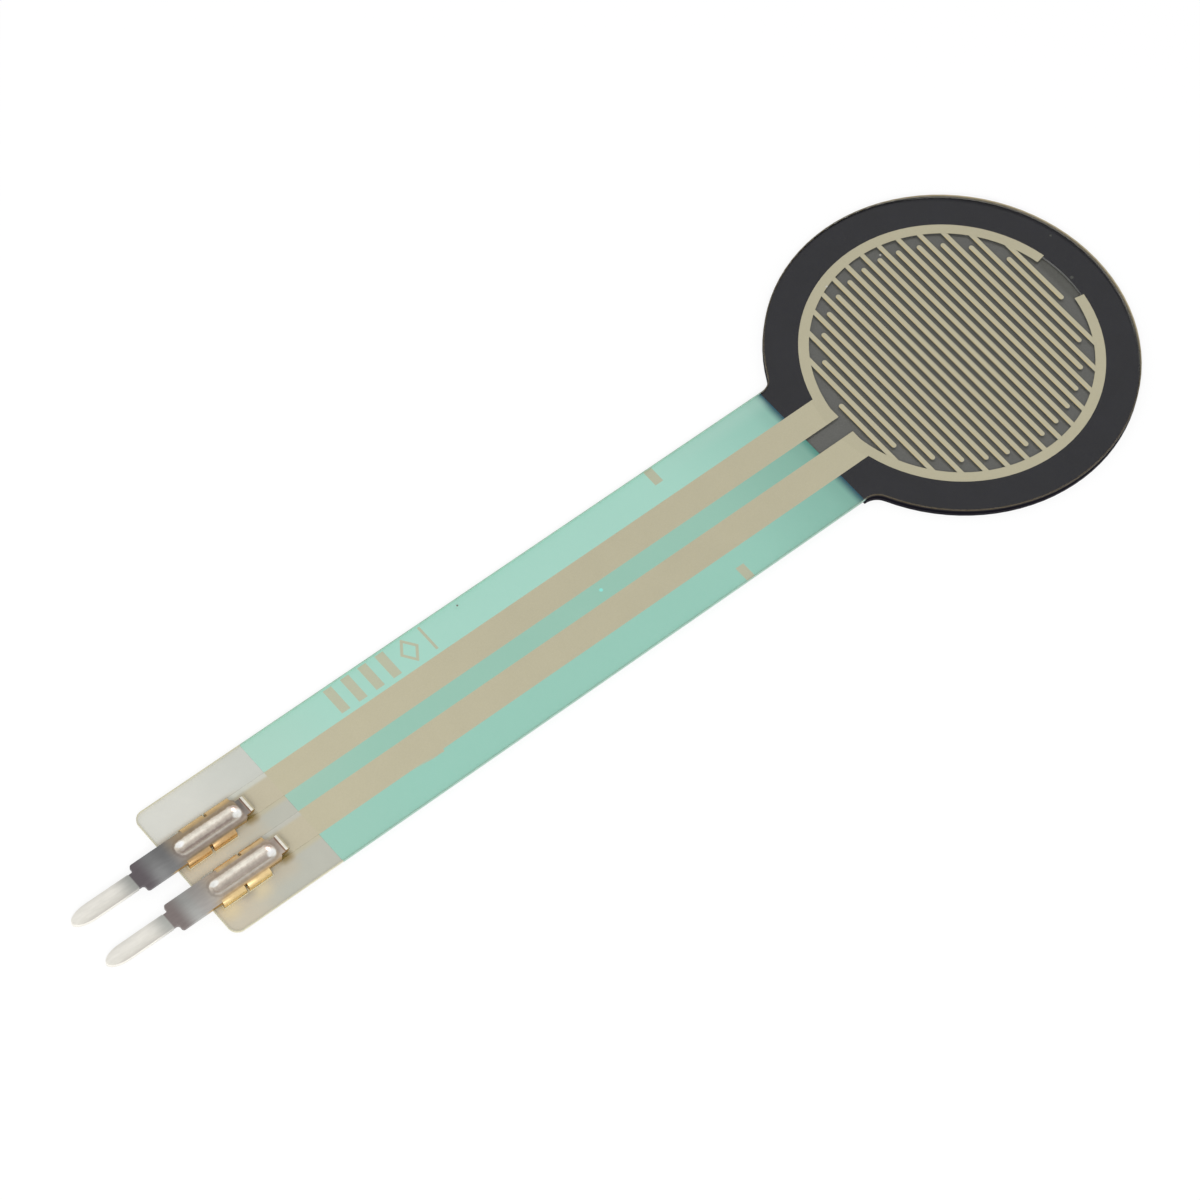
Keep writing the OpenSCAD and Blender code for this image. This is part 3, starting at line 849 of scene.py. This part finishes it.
silver = silver_print("silver_print", SILVER_COLOUR)
mark_silver = silver_print("silver_marks", through_film(183, 185, 162))
for node in ("electrode_a", "electrode_b"):
    dress(node, silver)
for node in ("edge_tick_a", "edge_tick_b", "index_diamond", "index_stroke"):
    dress(node, mark_silver)
for number in range(1, 5):
    dress(f"index_bar_{number}", mark_silver)
dress("tail_coat", green_coat())
dress("spacer_adhesive", black_spacer())
dress("sensing_ink", grey_ink())
dress("sensing_film", dark_layer("lower_film", srgb(24, 22, 30), 0.5))
dress("rear_adhesive", dark_layer("rear_adhesive", srgb(27, 26, 30), 0.6))
make_film()
metal = contact_metal()
make_contact("contact_a", metal)
make_contact("contact_b", metal)

# floor, light and camera

FLOOR_HALF = 600
# the floor's own glow and the light it catches add up to white away from the sensor's shadow
FLOOR_GLOW = 0.8
FLOOR_CATCHES = (0.22, 0.22, 0.22, 1)
# what the floor and the world give to the sensor's lighting
FLOOR_PAPER = (0.8, 0.8, 0.8, 1)
WORLD_LIGHT = 0.735


def seen_directly(tree):
    """One for rays from the camera, from a shiny surface or through a clear one."""
    path = put(tree, "ShaderNodeLightPath").outputs
    return any_of(tree, path["Is Camera Ray"], path["Is Glossy Ray"], path["Is Transmission Ray"])


def make_floor():
    """A pale floor that shows white and keeps a faint shadow of the sensor."""
    shape = bmesh.new()
    bmesh.ops.create_grid(shape, x_segments=1, y_segments=1, size=FLOOR_HALF * MM)
    mesh = bpy.data.meshes.new("floor")
    shape.to_mesh(mesh)
    shape.free()
    material = bpy.data.materials.new("pale_floor")
    material.use_nodes = True
    tree = material.node_tree
    tree.nodes.clear()
    paper = put(tree, "ShaderNodeBsdfDiffuse")
    paper.inputs["Color"].default_value = FLOOR_PAPER
    shadow_catch = put(tree, "ShaderNodeBsdfDiffuse")
    shadow_catch.inputs["Color"].default_value = FLOOR_CATCHES
    glow = put(tree, "ShaderNodeEmission")
    glow.inputs["Strength"].default_value = FLOOR_GLOW
    shown = put(tree, "ShaderNodeAddShader")
    tree.links.new(shadow_catch.outputs[0], shown.inputs[0])
    tree.links.new(glow.outputs[0], shown.inputs[1])
    chosen = put(tree, "ShaderNodeMixShader")
    tree.links.new(seen_directly(tree), chosen.inputs[0])
    tree.links.new(paper.outputs[0], chosen.inputs[1])
    tree.links.new(shown.outputs[0], chosen.inputs[2])
    output = put(tree, "ShaderNodeOutputMaterial")
    tree.links.new(chosen.outputs[0], output.inputs["Surface"])
    mesh.materials.append(material)
    floor = bpy.data.objects.new("floor", mesh)
    bpy.context.scene.collection.objects.link(floor)


def make_world():
    """Even light all round, and plain white where the camera or a shiny surface looks past the floor."""
    world = bpy.data.worlds.new("studio")
    bpy.context.scene.world = world
    world.use_nodes = True
    tree = world.node_tree
    tree.nodes.clear()
    lit = put(tree, "ShaderNodeBackground")
    lit.inputs["Strength"].default_value = WORLD_LIGHT
    white = put(tree, "ShaderNodeBackground")
    white.inputs["Strength"].default_value = 1.0
    chosen = put(tree, "ShaderNodeMixShader")
    tree.links.new(seen_directly(tree), chosen.inputs[0])
    tree.links.new(lit.outputs[0], chosen.inputs[1])
    tree.links.new(white.outputs[0], chosen.inputs[2])
    output = put(tree, "ShaderNodeOutputWorld")
    tree.links.new(chosen.outputs[0], output.inputs["Surface"])


def aimed(place, aim):
    return (aim - place).to_track_quat("-Z", "Y")


def soft_lamp(name, place, aim, size, watts):
    data = bpy.data.lights.new(name, "AREA")
    data.shape = "DISK"
    data.size = size * MM
    data.energy = watts
    lamp = bpy.data.objects.new(name, data)
    lamp.location = place
    lamp.rotation_mode = "QUATERNION"
    lamp.rotation_quaternion = aimed(place, aim)
    bpy.context.scene.collection.objects.link(lamp)


# one soft round lamp beyond the camera, with its diameter and its power in watts
LAMP_PLACE = mm(-180, -160, 260)
LAMP_AIM = mm(-20, 0, 0)
LAMP_SIZE = 180
LAMP_WATTS = 0.665

# the camera fitted to the photograph; its roll is in degrees
CAMERA_PLACE = mm(-110.62, -89.44, 206.47)
CAMERA_AIM = mm(-22.34, -0.33, 0.335)
CAMERA_ROLL = 5.83
CAMERA_LENS = 155.69
CAMERA_SENSOR_W = 36
# what lies nearer or further than this, in metres, isn't drawn
CAMERA_NEAR = 0.01
CAMERA_FAR = 10


def make_camera():
    data = bpy.data.cameras.new("camera")
    data.sensor_width = CAMERA_SENSOR_W
    data.lens = CAMERA_LENS
    data.clip_start = CAMERA_NEAR
    data.clip_end = CAMERA_FAR
    camera = bpy.data.objects.new("camera", data)
    camera.location = CAMERA_PLACE
    camera.rotation_mode = "QUATERNION"
    roll = Quaternion((0, 0, 1), math.radians(CAMERA_ROLL))
    camera.rotation_quaternion = aimed(CAMERA_PLACE, CAMERA_AIM) @ roll
    bpy.context.scene.collection.objects.link(camera)
    bpy.context.scene.camera = camera


make_floor()
make_world()
soft_lamp("key", LAMP_PLACE, LAMP_AIM, LAMP_SIZE, LAMP_WATTS)
make_camera()
bpy.context.scene.view_settings.view_transform = "Standard"
